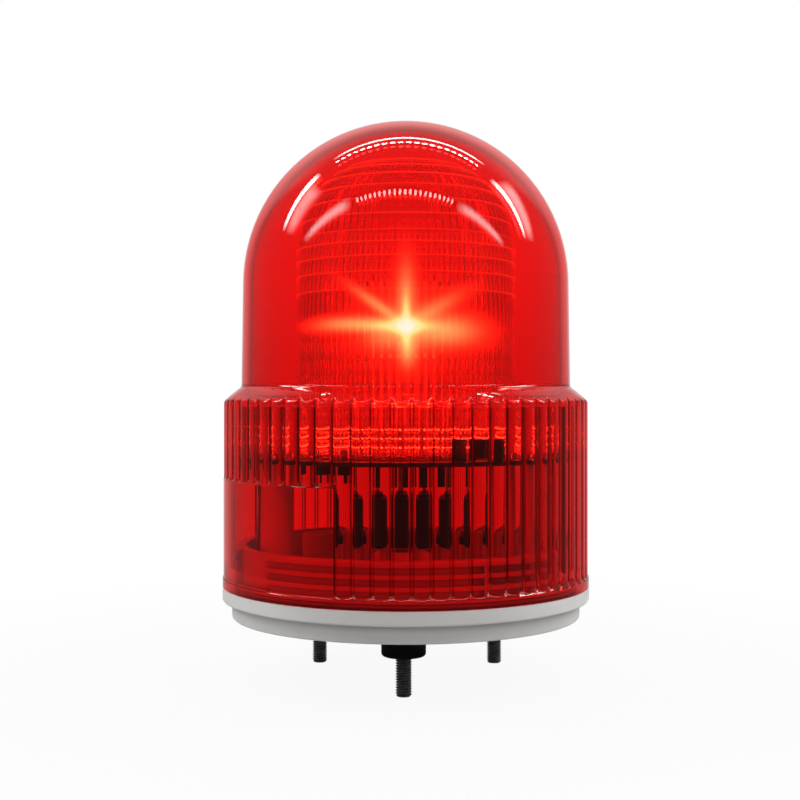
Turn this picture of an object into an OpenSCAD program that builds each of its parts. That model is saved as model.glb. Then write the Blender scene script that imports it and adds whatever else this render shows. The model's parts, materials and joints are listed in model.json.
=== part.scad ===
// Red signal beacon with a lamp and a sounder, fixed by three studs.
// Millimetres, +Z up. The origin is the centre of the stud circle, in the plane of the feet's undersides.
// The front faces -Y, and angles about the axis run from the front towards +X.

/* [Outer lens] */
// Radius of the dome at its equator
dome_r = 65; // [60:0.5:75]
// Height of the dome's straight side, from the shoulder to the equator
dome_side_h = 40.6; // [34:0.2:60]
// Draft of the dome's straight side, in degrees
dome_draft = 0.8; // [0.2:0.1:2]
// Wall of the dome and the skirt
lens_wall = 4; // [3:0.1:4.6]
// Width of the sloping shoulder between the dome and the skirt
shoulder_w = 6.9; // [5.5:0.1:10]
// Height of the sloping shoulder
shoulder_h = 5.9; // [4.5:0.1:8]
// Fillet where the dome meets the shoulder
shoulder_fillet = 2.2; // [0.5:0.1:4]
// Height of the skirt, from its rim to the shoulder
skirt_h = 72.6; // [66:0.2:90]
// Number of flutes round the skirt
flute_count = 64; // [48:1:72]
// Depth of the grooves between the flutes
flute_depth = 1; // [0.6:0.1:1.4]
// Height of the smooth band along the skirt's rim
band_h = 3.6; // [2:0.2:6]
// How far the band stands out past the flutes
band_out = 0.5; // [0.3:0.1:1]
// Height of the slope where the flutes run out into the band
runout_h = 2.6; // [1.5:0.1:4]
// Number of flutes left out for the smooth window
window_flutes = 16; // [8:1:20]
// Number of flutes between the front and the window's near edge
window_skip = 3; // [2:1:6]
// Height of the window's top above the rim
window_h = 42.4; // [36:0.2:55]
// How far the window's face stands out past the flutes
window_out = 0.15; // [0.1:0.05:0.3]
// Overlap of the window on the grooves at its ends, in degrees
window_margin = 0.3; // [0.2:0.1:0.6]

/* [Lock] */
// Gap between the outer lens and the collar's ribs
collar_gap = 0.4; // [0.3:0.05:0.6]
// Gap under the outer lens's rim
rim_gap = 0.2; // [0.1:0.05:0.3]
// Number of ribs on the collar
rib_count = 4; // [3:1:5]
// Distance from one rib to the next
rib_pitch = 4.25; // [4:0.05:4.6]
// Height of a rib's outer face
rib_h = 1.6; // [1.2:0.1:1.8]
// How far a rib stands out from the collar
rib_out = 1.4; // [1.2:0.1:1.6]
// Chamfer on the collar's top edge
collar_lead = 0.5; // [0.2:0.1:1]
// Extra depth of the entry slots
slot_extra = 0.2; // [0.1:0.05:0.4]
// Width of the stop beside a locked lug, in degrees
stop_angle = 2; // [1:0.5:4]
// Gap between a locked lug and its stop, in degrees
stop_gap = 0.5; // [0.3:0.1:1]
// Width of an entry slot in the ribs, in degrees
slot_angle = 18; // [16:0.5:22]
// Width of a lug on the outer lens, in degrees
lug_angle = 14; // [10:0.5:15]
// Angle from the locked place to the entry slot
lock_turn = 30; // [25:1:40]
// Place of the first locked lug about the axis, in degrees
lock_angle = -86; // [-92:1:-80]
// Height of a lug
lug_h = 1.6; // [1:0.1:1.7]
// Thickness of the seal ring
seal_d = 1.8; // [1.4:0.1:2.2]
// Room beside the seal ring in its groove
seal_room = 0.1; // [0.05:0.05:0.2]

/* [Base] */
// Height of the ring under the flange
ring_h = 6.8; // [5.5:0.1:9]
// Height of the flange
flange_h = 5.4; // [4.5:0.1:7]
// Step from the flange in to the ring
base_step = 3.7; // [2.5:0.1:5]
// Radius on the base's edges
base_edge = 0.8; // [0.3:0.1:1.2]
// Thickness of the base's floor
floor_t = 3; // [2.5:0.1:3.5]
// Wall of the collar
collar_t = 3; // [2.6:0.1:4]
// Radius of a board pillar at its top
pillar_top_r = 5.6; // [5:0.1:6]
// Radius of a board pillar at its foot
pillar_foot_r = 6.4; // [6:0.1:7]
// Distance of the pillars in from the board's edge
pillar_inset = 6; // [6:0.1:7]
// Height of the studs' bosses above the floor
boss_h = 27; // [18:0.5:34]
// Radius of the studs' bosses
boss_r = 7.6; // [7.2:0.1:8.4]

/* [Studs and feet] */
// Diameter of the circle of studs
stud_circle = 84; // [80:0.5:90]
// Diameter of the studs' thread
stud_d = 6; // [5:0.5:6]
// Diameter of a stud's plain shank above its thread
shank_d = 5.4; // [4.8:0.1:5.6]
// Length of stud below the feet
stud_below = 15; // [10:0.5:30]
// Chamfer on a stud's tip
stud_chamfer = 0.6; // [0.3:0.1:1]
// Width of a stud's head across its flats
head_flats = 10; // [9.5:0.1:10.4]
// Height of a stud's head
head_h = 4; // [3:0.1:5]
// Room round a stud in its hole
stud_room = 0.2; // [0.1:0.05:0.4]
// Diameter of a rubber foot
foot_d = 16.6; // [14:0.1:20]
// Height of a rubber foot
foot_h = 9; // [6:0.1:12]
// Radius on a foot's lower edge
foot_edge = 1.2; // [0.5:0.1:2]

/* [Cable entry] */
// Bore of the grommet
cable_bore_d = 7; // [6:0.1:8]
// Wall of the grommet
grommet_wall = 2; // [1.5:0.1:2.6]
// Width and height of the grommet's lips
grommet_lip = 2; // [1.4:0.1:2.6]
// Bevel on the grommet's lips
grommet_bevel = 1; // [0.4:0.1:1.2]
// Distance of the cable entry from the axis
entry_r = 40; // [38:0.5:42]
// Place of the cable entry about the axis, in degrees
entry_angle = -90; // [-95:1:-85]
// Width of the supply terminal, along the wall
terminal_w = 14; // [12:0.5:16]
// Depth of the supply terminal, in from the wall
terminal_d = 8; // [7:0.2:9]
// Height of the supply terminal
terminal_h = 11; // [8:0.5:14]
// Height of the wire socket under the circuit board
socket_h = 4; // [3:0.1:5]
// Diameter of the terminal's screw wells
well_d = 3.4; // [2.6:0.1:3.6]
// Depth of the terminal's screw wells
well_h = 5; // [3:0.1:7]
// Diameter of the supply wires
wire_d = 1.8; // [1.4:0.1:2.2]
// Distance between the supply wires
wire_pitch = 5; // [4:0.1:6]
// Distance of the supply wires in from the board's edge
wire_inset = 2.5; // [2:0.1:3]
// Sideways sway of the supply wires
wire_sway = 1.6; // [0:0.1:2]

/* [Sounder] */
// Diameter of the sounder
sounder_d = 41; // [38:0.5:44]
// Height of the sounder
sounder_h = 20.4; // [16:0.2:24]
// Radius on the sounder's top edge
sounder_edge = 2; // [1:0.1:3]
// Diameter of the raised cap on the sounder
sounder_cap_d = 24; // [18:0.5:30]
// Height of the raised cap on the sounder
sounder_cap_h = 1.6; // [1:0.1:3]
// Height of the sounder's seat above the floor
horn_h = 25; // [20:0.2:28]
// Outer diameter of the sound duct under the sounder
horn_d = 34; // [30:0.5:35]
// Wall of the sound duct
horn_wall = 2.5; // [2:0.1:3]
// Width of a sound slot in the floor
sound_slot_w = 2.4; // [1.6:0.1:3]
// Width of the bars between the sound slots
sound_bar_w = 1.6; // [1.2:0.1:2.4]
// Distance of the sound slots in from the duct's wall
sound_slot_edge = 1.5; // [1:0.1:3]
// Distance of the sounder's ears out from its wall
ear_out = 3; // [2.6:0.1:3.4]
// Radius of the sounder's ears
ear_r = 4; // [3.6:0.1:4.4]
// Thickness of the sounder's ears
ear_t = 3; // [2:0.1:4]
// Diameter of the sounder's leads
lead_d = 1.2; // [0.8:0.1:1.6]
// Distance between the sounder's leads
lead_pitch = 6; // [4:0.2:9]

/* [Circuit board] */
// Gap between the board's edge and the outer lens
board_gap = 7; // [6:0.1:7.5]
// Thickness of the board
board_t = 1.6; // [1.2:0.1:2]
// Height of the board's underside above the floor
board_h = 58.8; // [57:0.2:64]
// Width of the driver module, along the edge
module_w = 14; // [12:0.2:15]
// Depth of the driver module
module_d = 7; // [5:0.2:8]
// Height of the driver module
module_h = 8; // [6:0.2:9]
// Distance of the driver module in from the board's edge
module_edge = 1.2; // [0.8:0.1:1.6]
// Width of the driver module's two feet
module_foot_w = 1.6; // [1.2:0.1:2]
// Height of the driver module's feet
module_foot_h = 1.2; // [0.8:0.1:1.6]
// Place of the driver module about the axis, in degrees
module_angle = 29; // [28:1:32]
// Width of the pin header under the board
header_w = 15; // [12:0.2:16]
// Depth of the pin header
header_d = 3.6; // [2.5:0.1:4]
// Height of the pin header
header_h = 3.4; // [2.4:0.1:4]
// Number of pins on the header
header_pins = 5; // [3:1:6]
// Length of the header's pins
header_pin_h = 3; // [2:0.1:4]
// Width of the header's pins
header_pin_w = 0.8; // [0.6:0.1:1]
// Distance of the pin header in from the board's edge
header_edge = 4; // [2:0.1:6]
// Place of the pin header about the axis, in degrees
header_angle = -30; // [-34:1:-26]
// Diameter of the capacitors under the board
capacitor_d = 6.3; // [5:0.1:7]
// Length of the capacitors
capacitor_h = 9; // [6:0.2:9.6]
// Number of capacitors
capacitor_count = 3; // [1:1:4]
// Distance of the capacitors from the axis
capacitor_r = 33; // [30:0.5:38]
// Angle from one capacitor to the next
capacitor_step_angle = 18; // [14:1:24]
// Place of the first capacitor about the axis, in degrees
capacitor_angle = -8; // [-14:1:0]
// Diameter of the small screws' shanks
screw_d = 3; // [2.5:0.1:3.2]
// Diameter of the small screws' heads
screw_head_d = 5.6; // [5:0.1:6]
// Height of the small screws' heads
screw_head_h = 2; // [1.5:0.1:2.6]
// Depth of a screw's point in the moulding
screw_grip = 8; // [6:0.2:11]
// Room under a screw's point
screw_end_room = 1; // [0.5:0.1:2]
// Diameter of a small screw head's top
screw_top_d = 4.4; // [4:0.1:4.8]
// Length of a screw head's cross slot
screw_slot_l = 3.4; // [3:0.1:3.8]
// Width of a screw head's cross slot
screw_slot_w = 0.8; // [0.6:0.1:1.2]
// Depth of a screw head's cross slot
screw_slot_h = 0.8; // [0.4:0.1:1.2]
// Room round a screw in its hole
screw_room = 0.15; // [0.1:0.05:0.25]

/* [Inner lens] */
// Distance of the inner lens's wall in from the board's edge
drum_inset = 17.5; // [16:0.1:20]
// Wall of the inner lens between its upright flutes
drum_wall = 2.4; // [2:0.1:3]
// Depth of the lens rings' steps
ring_step = 1; // [0.6:0.1:1.2]
// Half height of the middle lens ring
ring_mid_h = 9.7; // [8:0.1:11]
// Height of the ring next to the middle one
ring_next_h = 6.7; // [6:0.1:7]
// Height of each ring as a share of the one before
ring_share = 0.87; // [0.84:0.01:0.9]
// Number of rings above the middle one
rings_above = 4; // [2:1:5]
// Number of rings below the middle one
rings_below = 9; // [5:1:9]
// Radius on the inner lens's crown
crown_r = 32; // [26:0.5:34]
// Number of rings on the crown
crown_rings = 6; // [3:1:8]
// Depth of the crown rings' steps
crown_step = 0.6; // [0.3:0.1:0.9]
// Angle from the crown's foot up to its last ring
crown_ring_angle = 66; // [50:1:75]
// Angle from the crown's last ring to its plain top
crown_top_angle = 4; // [3:0.5:8]
// Number of upright flutes inside the inner lens
drum_flutes = 90; // [72:1:100]
// Depth of the upright flutes
drum_flute_depth = 0.5; // [0.4:0.05:0.7]
// Width of the inner lens's foot flange
drum_flange_w = 5.4; // [5.2:0.1:5.8]
// Thickness of the foot flange
drum_flange_t = 2; // [1.5:0.1:3]

/* [Lamp] */
// Height of the lamp's middle above the circuit board
lamp_h = 53.6; // [52:0.2:60]
// Width of the heat sink across its flats
sink_flats = 22; // [18:0.2:26]
// Height of the heat sink
sink_h = 26; // [22:0.2:30]
// Diameter of the lamp post
post_d = 16; // [12:0.2:18]
// Diameter of the lamp post's foot
post_foot_d = 32; // [26:0.5:40]
// Thickness of the lamp post's foot
post_foot_t = 2.4; // [1.6:0.1:4]
// Diameter of the bolt through the heat sink
bolt_d = 4; // [3:0.1:4.5]
// Width of the bolt's head across its flats
bolt_flats = 7; // [6:0.1:8]
// Height of the bolt's head
bolt_head_h = 2.8; // [2:0.1:4]
// Depth of the bolt in the lamp post
bolt_grip = 14; // [10:0.5:20]
// Width of an LED board
led_board_w = 10; // [8.6:0.1:10.2]
// Height of an LED board
led_board_h = 22; // [19:0.2:22]
// Thickness of an LED board
led_board_t = 1.4; // [1:0.1:2]
// Width of an LED's body
led_w = 5; // [4:0.1:5.4]
// Thickness of an LED's body
led_t = 1; // [0.8:0.1:1.6]
// Radius of an LED's dome
led_dome_r = 1.9; // [1.4:0.1:1.95]
// Distance of the LED board screws in from the board's ends
led_screw_inset = 3; // [2.4:0.1:3.6]
// Diameter of the LED board screws' heads
led_screw_head_d = 3; // [2.6:0.1:3.4]
// Height of the LED board screws' heads
led_screw_head_h = 1.1; // [0.8:0.1:1.4]
// Diameter of the LED board screws' shanks
led_screw_d = 1.8; // [1.4:0.1:2]
// Length of the LED board screws' shanks
led_screw_len = 5; // [4:0.1:6]

/* [Hidden] */
$fn = 96;
LED_COUNT = 6;
STUD_COUNT = 3;
SEGMENT = 360 / STUD_COUNT;
CUT = 1;

// Heights of the levels above the mounting plane
floor_z = foot_h + floor_t;
flange_z = foot_h + ring_h;
rim_z = flange_z + flange_h;
lens_z = rim_z + rim_gap;
skirt_top_z = lens_z + skirt_h;
shoulder_z = skirt_top_z + shoulder_h;
dome_z = shoulder_z + dome_side_h;
board_z = floor_z + board_h;
deck_z = board_z + board_t;
lamp_z = deck_z + lamp_h;
seat_z = floor_z + horn_h;

// Radii of the outer lens
dome_foot_r = dome_r + dome_side_h * tan(dome_draft);
crest_r = dome_foot_r + shoulder_w;
groove_r = crest_r - flute_depth;
band_r = crest_r + band_out;
window_r = crest_r + window_out;
skirt_in_r = crest_r - lens_wall;
shoulder_slope = atan2(shoulder_h, shoulder_w);
wall_drop = foot_drop(lens_wall);

// Flutes: arcs that touch the crest circle and meet on the groove circle
flute_pitch = 360 / flute_count;
flute_centre_r = (crest_r ^ 2 - groove_r ^ 2) / (2 * (crest_r - groove_r * cos(flute_pitch / 2)));
flute_r = crest_r - flute_centre_r;
window_angle = window_flutes * flute_pitch + 2 * window_margin;
window_start = -(window_skip + window_flutes + 0.5) * flute_pitch - window_margin;

// Radii of the base and its collar
rib_r = skirt_in_r - collar_gap;
collar_r = rib_r - rib_out;
seal_top_z = rim_z + seal_d + 2 * seal_room;
rib_z = seal_top_z + rib_h / 2;
collar_z = rib_z + (rib_count - 1) * rib_pitch + rib_h / 2 + collar_lead;
collar_in_r = collar_r - collar_t;
lug_in_r = collar_r + collar_gap;
ring_r = band_r - base_step;
seal_z = rim_z + seal_d / 2 + seal_room;
seal_r = rib_r - seal_d / 2;
seal_in_r = seal_r - seal_d / 2 - seal_room;
board_r = skirt_in_r - board_gap;
pillar_r = board_r - pillar_inset;
stud_r = stud_circle / 2;
head_z = floor_z + boss_h - head_h;
grommet_neck_r = cable_bore_d / 2 + grommet_wall;

// Places of the parts on the board and the floor
wire_r = board_r - wire_inset;
terminal_r = wire_r - terminal_d / 4;
ear_place_r = sounder_d / 2 + ear_out;
module_r = board_r - module_d / 2 - module_edge;
header_r = board_r - header_d / 2 - header_edge;
header_pin_pitch = header_w / header_pins;
drum_r = board_r - drum_inset;
drum_flange_r = drum_r + drum_flange_w;
drum_screw_r = drum_r + drum_flange_w / 2;
drum_in_r = drum_r - ring_step - drum_wall;
sink_z = lamp_z - sink_h / 2;
sink_top_z = lamp_z + sink_h / 2;
led_face_r = sink_flats / 2 + led_board_t;
led_screw_h = led_board_h / 2 - led_screw_inset;
bolt_z = sink_z - bolt_grip;

function arc(centre, r, from, to, steps) =
    [for (i = [0:steps]) let (a = from + (to - from) * i / steps) centre + r * [cos(a), sin(a)]];

// How far the dome's foot drops when the dome and the shoulder are both set in by a wall
function foot_drop(wall) = wall * (1 - sin(shoulder_slope)) / cos(shoulder_slope);

// Height of lens ring number i's outer edge above or below the lamp
function ring_edge(i) = ring_mid_h + ring_next_h * (1 - ring_share ^ i) / (1 - ring_share);

// Puts a child made at the axis out to a distance and a place about the axis
module placed(angle, r, z = 0) rotate(angle) translate([0, -r, z]) children();

module three_times(start = 0) for (i = [0:STUD_COUNT - 1]) rotate(start + i * SEGMENT) children();

// A ring sector between two radii, centred on an angle from the front
module sector(angle, width, r_in, r_out, z, h)
    rotate(angle - width / 2 - 90)
        rotate_extrude(angle = width) translate([r_in, z]) square([r_out - r_in, h]);

module flute_outline() {
    circle(groove_r - flute_depth / 4);
    for (i = [0:flute_count - 1])
        rotate(i * flute_pitch - 90) translate([flute_centre_r, 0]) circle(flute_r);
}

// Half section of the dome and shoulder, set in by a wall
module dome_section(wall, from_z) {
    foot = [dome_foot_r - wall, shoulder_z - foot_drop(wall)];
    polygon([[0, from_z], [foot.x, from_z], foot, [dome_r - wall, dome_z], [0, dome_z]]);
    intersection() {
        translate([0, dome_z]) circle(dome_r - wall);
        translate([0, dome_z - CUT]) square(dome_r + CUT);
    }
}

// Fills the corner between the dome's side and the shoulder with a fillet
module shoulder_fillet_section() {
    turn = 90 - shoulder_slope;
    reach = shoulder_fillet * tan(turn / 2);
    centre = [dome_foot_r + shoulder_fillet, shoulder_z + reach];
    end = [dome_foot_r + reach * cos(shoulder_slope), shoulder_z - reach * sin(shoulder_slope)];
    polygon(concat([[dome_foot_r - CUT, shoulder_z - CUT], [dome_foot_r - CUT, shoulder_z + reach]],
        arc(centre, shoulder_fillet, 180, 180 + turn, 6), [end - [CUT, CUT]]));
}

module fluted_skirt() {
    over = 2;
    rise = over * tan(shoulder_slope);
    intersection() {
        translate([0, 0, lens_z + CUT]) linear_extrude(skirt_h + shoulder_h) flute_outline();
        rotate_extrude() polygon([[0, lens_z - CUT], [crest_r + over, lens_z - CUT],
            [crest_r + over, skirt_top_z - rise], [dome_foot_r - over, shoulder_z + rise],
            [0, shoulder_z + rise]]);
    }
}

module rim_band() rotate_extrude() polygon([[0, lens_z], [band_r, lens_z], [band_r, lens_z + band_h],
    [groove_r - flute_depth / 2, lens_z + band_h + runout_h], [0, lens_z + band_h + runout_h]]);

module lens_inside() rotate_extrude() {
    dome_section(lens_wall, lens_z - CUT);
    polygon([[0, lens_z - CUT], [skirt_in_r, lens_z - CUT], [skirt_in_r, skirt_top_z - wall_drop],
        [dome_foot_r - lens_wall, shoulder_z - wall_drop], [0, shoulder_z - wall_drop]]);
}

module outer_lens() color("red", 0.6) {
    difference() {
        union() {
            rotate_extrude() dome_section(0, shoulder_z - CUT);
            rotate_extrude() shoulder_fillet_section();
            fluted_skirt();
            rim_band();
            sector(window_start + window_angle / 2, window_angle, skirt_in_r - CUT, window_r,
                lens_z + CUT, window_h - CUT);
        }
        lens_inside();
    }
    three_times(lock_angle) for (i = [0:rib_count - 2])
        sector(0, lug_angle, lug_in_r, skirt_in_r + CUT, rib_z + (i + 0.5) * rib_pitch - lug_h / 2, lug_h);
}

module seal_ring() color("dimgray") rotate_extrude() translate([seal_r, seal_z]) circle(seal_d / 2);

module base_section() polygon(concat([[0, foot_h]],
    arc([ring_r - base_edge, foot_h + base_edge], base_edge, -90, 0, 5),
    [[ring_r, flange_z]],
    arc([band_r - base_edge, flange_z + base_edge], base_edge, -90, 0, 5),
    [[band_r, rim_z], [seal_in_r, rim_z], [seal_in_r, seal_top_z], [rib_r, seal_top_z],
        [rib_r, collar_z - collar_lead], [rib_r - collar_lead, collar_z], [collar_in_r, collar_z],
        [collar_in_r, floor_z], [0, floor_z]]));

// The lugs' tracks between the ribs, each from one stop to the next, and the slots that lead down into them
module lug_tracks() {
    stop_place = lock_angle - (lug_angle + stop_angle) / 2 - stop_gap;
    track_z = rib_z + rib_h / 2;
    three_times(stop_place + SEGMENT / 2) for (i = [0:rib_count - 2])
        sector(0, SEGMENT - stop_angle, collar_r, rib_r + CUT, track_z + i * rib_pitch, rib_pitch - rib_h);
    three_times(lock_angle + lock_turn)
        sector(0, slot_angle, collar_r - slot_extra, rib_r + CUT, track_z, collar_z - track_z + CUT);
}

module base_solids() {
    difference() {
        rotate_extrude() base_section();
        lug_tracks();
    }
    three_times(SEGMENT / 2) placed(0, pillar_r, foot_h + CUT)
        cylinder(h = board_z - foot_h - CUT, r1 = pillar_foot_r, r2 = pillar_top_r);
    three_times() placed(0, stud_r, foot_h + CUT) cylinder(h = floor_t + boss_h - CUT, r = boss_r);
    translate([0, 0, foot_h + CUT]) cylinder(h = floor_t + horn_h - CUT, d = horn_d);
    for (side = [-90, 90]) placed(side, ear_place_r, foot_h + CUT)
        cylinder(h = floor_t + horn_h - CUT, r = ear_r);
}

module base_holes() {
    three_times(SEGMENT / 2) placed(0, pillar_r, board_z) screw_hole(screw_grip + screw_end_room);
    three_times() placed(0, stud_r) {
        translate([0, 0, foot_h - CUT]) cylinder(h = head_z - foot_h + 2 * CUT, d = stud_d + 2 * stud_room);
        translate([0, 0, head_z]) hexagon(head_h + CUT, head_flats + 2 * stud_room);
    }
    translate([0, 0, floor_z]) cylinder(h = horn_h + CUT, d = horn_d - 2 * horn_wall);
    sound_slots();
    for (side = [-90, 90]) placed(side, ear_place_r, seat_z) screw_hole(screw_grip + screw_end_room);
    placed(entry_angle, entry_r, foot_h - CUT)
        cylinder(h = floor_t + 2 * CUT, r = grommet_neck_r + screw_room);
}

module hexagon(h, flats) cylinder(h = h, d = flats / cos(30), $fn = 6);

// A hole for a small screw, from just above z = 0 down to a depth
module screw_hole(depth) translate([0, 0, -depth]) cylinder(h = depth + CUT, d = screw_d + 2 * screw_room);

// A row of slots through the floor, cut to the round of the sound duct
module sound_slots() {
    pitch = sound_slot_w + sound_bar_w;
    reach = horn_d / 2 - horn_wall - sound_slot_edge;
    count = floor((2 * reach - sound_slot_w) / pitch);
    for (i = [0:count - 1]) let (x = (i - (count - 1) / 2) * pitch,
        half = sqrt(reach ^ 2 - (abs(x) + sound_slot_w / 2) ^ 2))
        translate([x - sound_slot_w / 2, -half, foot_h - CUT])
            cube([sound_slot_w, 2 * half, floor_t + 2 * CUT]);
}

module base_housing() color("gainsboro") difference() {
    base_solids();
    base_holes();
}

module rubber_foot() rotate_extrude() polygon(concat([[stud_d / 2 + stud_room, 0]],
    arc([foot_d / 2 - foot_edge, foot_edge], foot_edge, -90, 0, 6),
    [[foot_d / 2, foot_h], [stud_d / 2 + stud_room, foot_h]]));

module rubber_feet() color("black") three_times() placed(0, stud_r) rubber_foot();

module mounting_stud() {
    tip = -stud_below;
    rotate_extrude() polygon([[0, tip], [stud_d / 2 - stud_chamfer, tip], [stud_d / 2, tip + stud_chamfer],
        [stud_d / 2, 0], [shank_d / 2, 0], [shank_d / 2, head_z + CUT], [0, head_z + CUT]]);
    translate([0, 0, head_z]) hexagon(head_h, head_flats);
}

module mounting_studs() color("dimgray") three_times() placed(0, stud_r) mounting_stud();

module cable_grommet() color("black") placed(entry_angle, entry_r) rotate_extrude() {
    bore = cable_bore_d / 2;
    lip = grommet_neck_r + grommet_lip;
    polygon([[bore, foot_h - grommet_lip], [lip - grommet_bevel, foot_h - grommet_lip], [lip, foot_h],
        [grommet_neck_r, foot_h], [grommet_neck_r, floor_z], [lip, floor_z],
        [lip - grommet_bevel, floor_z + grommet_lip], [bore, floor_z + grommet_lip]]);
}

module supply_terminal() color("black") placed(entry_angle, terminal_r, floor_z) difference() {
    translate([-terminal_w / 2, -terminal_d / 2, 0]) cube([terminal_w, terminal_d, terminal_h]);
    for (side = [-1, 1]) translate([side * wire_pitch / 2, terminal_d / 4, terminal_h - well_h])
        cylinder(h = well_h + CUT, d = well_d);
}

// An upright wire that sways sideways in a gentle double bend
module swaying_wire(h, d, sway) {
    steps = 20;
    sides = 12;
    ring = [for (i = [0:steps], j = [0:sides - 1]) let (t = i / steps, a = j * 360 / sides)
        [d / 2 * cos(a) + sway * sin(360 * t) * sin(180 * t), d / 2 * sin(a), h * t]];
    walls = [for (i = [0:steps - 1], j = [0:sides - 1]) let (k = (j + 1) % sides)
        [i * sides + j, (i + 1) * sides + j, (i + 1) * sides + k, i * sides + k]];
    ends = [[for (j = [0:sides - 1]) j], [for (j = [sides - 1:-1:0]) steps * sides + j]];
    polyhedron(ring, concat(walls, ends), convexity = 4);
}

module supply_wires() color("maroon") placed(entry_angle, wire_r, floor_z + terminal_h)
    for (side = [-1, 1]) translate([side * wire_pitch / 2, 0, 0])
        swaying_wire(board_h - terminal_h - socket_h, wire_d, side * wire_sway);

module wire_socket() color("black") placed(entry_angle, terminal_r, board_z - socket_h)
    translate([-terminal_w / 2, -terminal_d / 2, 0]) cube([terminal_w, terminal_d, socket_h]);

module sounder_case() color("black") {
    r = sounder_d / 2;
    top = seat_z + sounder_h - sounder_cap_h;
    rotate_extrude() polygon(concat([[0, seat_z], [r, seat_z]],
        arc([r - sounder_edge, top - sounder_edge], sounder_edge, 0, 90, 6),
        [[sounder_cap_d / 2, top], [sounder_cap_d / 2, top + sounder_cap_h], [0, top + sounder_cap_h]]));
    for (side = [-90, 90]) rotate(side) difference() {
        union() {
            translate([0, -ear_place_r, seat_z]) cylinder(h = ear_t, r = ear_r);
            translate([-ear_r, -ear_place_r, seat_z]) cube([2 * ear_r, ear_place_r - r / 2, ear_t]);
        }
        translate([0, -ear_place_r, seat_z + ear_t]) screw_hole(ear_t + CUT);
    }
}

// A cross slotted screw with its head's underside at z = 0
module pan_screw(grip) {
    slot = [screw_slot_l, screw_slot_w, 2 * screw_slot_h];
    translate([0, 0, -grip]) cylinder(h = grip + screw_head_h / 4, d = screw_d);
    difference() {
        cylinder(h = screw_head_h, d1 = screw_head_d, d2 = screw_top_d);
        for (turn = [0, 90]) rotate(turn) translate([0, 0, screw_head_h]) cube(slot, center = true);
    }
}

module sounder_screws() color("silver") for (side = [-90, 90]) placed(side, ear_place_r, seat_z + ear_t)
    pan_screw(ear_t + screw_grip);

module sounder_leads() color("maroon") for (side = [-1, 1])
    translate([side * lead_pitch / 2, 0, seat_z + sounder_h])
        cylinder(h = board_h - horn_h - sounder_h, d = lead_d);

module main_board() color("darkgreen") translate([0, 0, board_z]) difference() {
    cylinder(h = board_t, r = board_r);
    three_times(SEGMENT / 2) placed(0, pillar_r, board_t) screw_hole(board_t + CUT);
    three_times(-SEGMENT / 4) placed(0, drum_screw_r, board_t) screw_hole(board_t + CUT);
}

module board_screws() color("silver") three_times(SEGMENT / 2) placed(0, pillar_r, deck_z)
    pan_screw(board_t + screw_grip);

module driver_module() color("black") placed(module_angle, module_r, deck_z) difference() {
    translate([-module_w / 2, -module_d / 2, 0]) cube([module_w, module_d, module_h]);
    translate([module_foot_w - module_w / 2, -module_d / 2 - CUT, -CUT])
        cube([module_w - 2 * module_foot_w, module_d + 2 * CUT, module_foot_h + CUT]);
}

module pin_header() color("black") placed(header_angle, header_r, board_z) {
    translate([-header_w / 2, -header_d / 2, -header_h]) cube([header_w, header_d, header_h]);
    for (i = [0:header_pins - 1]) let (x = (i - (header_pins - 1) / 2) * header_pin_pitch)
        translate([x - header_pin_w / 2, -header_pin_w / 2, -header_h - header_pin_h])
            cube([header_pin_w, header_pin_w, header_pin_h + CUT]);
}

module capacitors() color("black") for (i = [0:capacitor_count - 1])
    placed(capacitor_angle + i * capacitor_step_angle, capacitor_r, board_z - capacitor_h)
        cylinder(h = capacitor_h, d = capacitor_d);

// Half section of the inner lens: a barrel of stepped rings under a round crown
module drum_section() {
    top_z = lamp_z + ring_edge(rings_above);
    crown_z = top_z + crown_r;
    below = [for (i = [rings_below:-1:1]) each
        [[drum_r - ring_step, lamp_z - ring_edge(i)], [drum_r, lamp_z - ring_edge(i - 1)]]];
    middle = [for (i = [0:8]) let (t = i / 4 - 1) [drum_r - ring_step * t ^ 2, lamp_z + t * ring_mid_h]];
    above = [for (i = [0:rings_above - 1]) each
        [[drum_r, lamp_z + ring_edge(i)], [drum_r - ring_step, lamp_z + ring_edge(i + 1)]]];
    centre = [drum_r - ring_step - crown_r, top_z];
    crown = [for (i = [1:crown_rings]) let (a = i * crown_ring_angle / crown_rings) each
        [centre + (crown_r - crown_step) * [cos(a), sin(a)], centre + crown_r * [cos(a), sin(a)]]];
    polygon(concat([[0, deck_z], [drum_flange_r, deck_z], [drum_flange_r, deck_z + drum_flange_t],
        [drum_r - ring_step, deck_z + drum_flange_t]], below, middle, above, crown,
        arc(centre, crown_r, crown_ring_angle + crown_top_angle, 90, 5), [[0, crown_z]]));
}

module drum_bore() {
    top_z = lamp_z + ring_edge(rings_above);
    inner_crown_r = crown_r - drum_wall - drum_flute_depth;
    crown_foot_r = drum_in_r - 2 * drum_flute_depth;
    half_turn = 180 / drum_flutes;
    bulge_r = drum_in_r - drum_flute_depth;
    flute_r = (pow(drum_in_r, 2) + pow(bulge_r, 2) - 2 * drum_in_r * bulge_r * cos(half_turn))
        / (2 * (drum_in_r * cos(half_turn) - bulge_r));
    translate([0, 0, deck_z - CUT]) linear_extrude(top_z - deck_z + CUT) difference() {
        circle(r = drum_in_r + CUT);
        for (i = [0:drum_flutes - 1]) rotate(2 * i * half_turn)
            translate([bulge_r + flute_r, 0]) circle(r = flute_r);
    }
    rotate_extrude() polygon(concat([[0, top_z - CUT], [crown_foot_r, top_z - CUT]],
        arc([crown_foot_r - inner_crown_r, top_z], inner_crown_r, 0, 90, 12),
        [[0, top_z + inner_crown_r]]));
}

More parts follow.
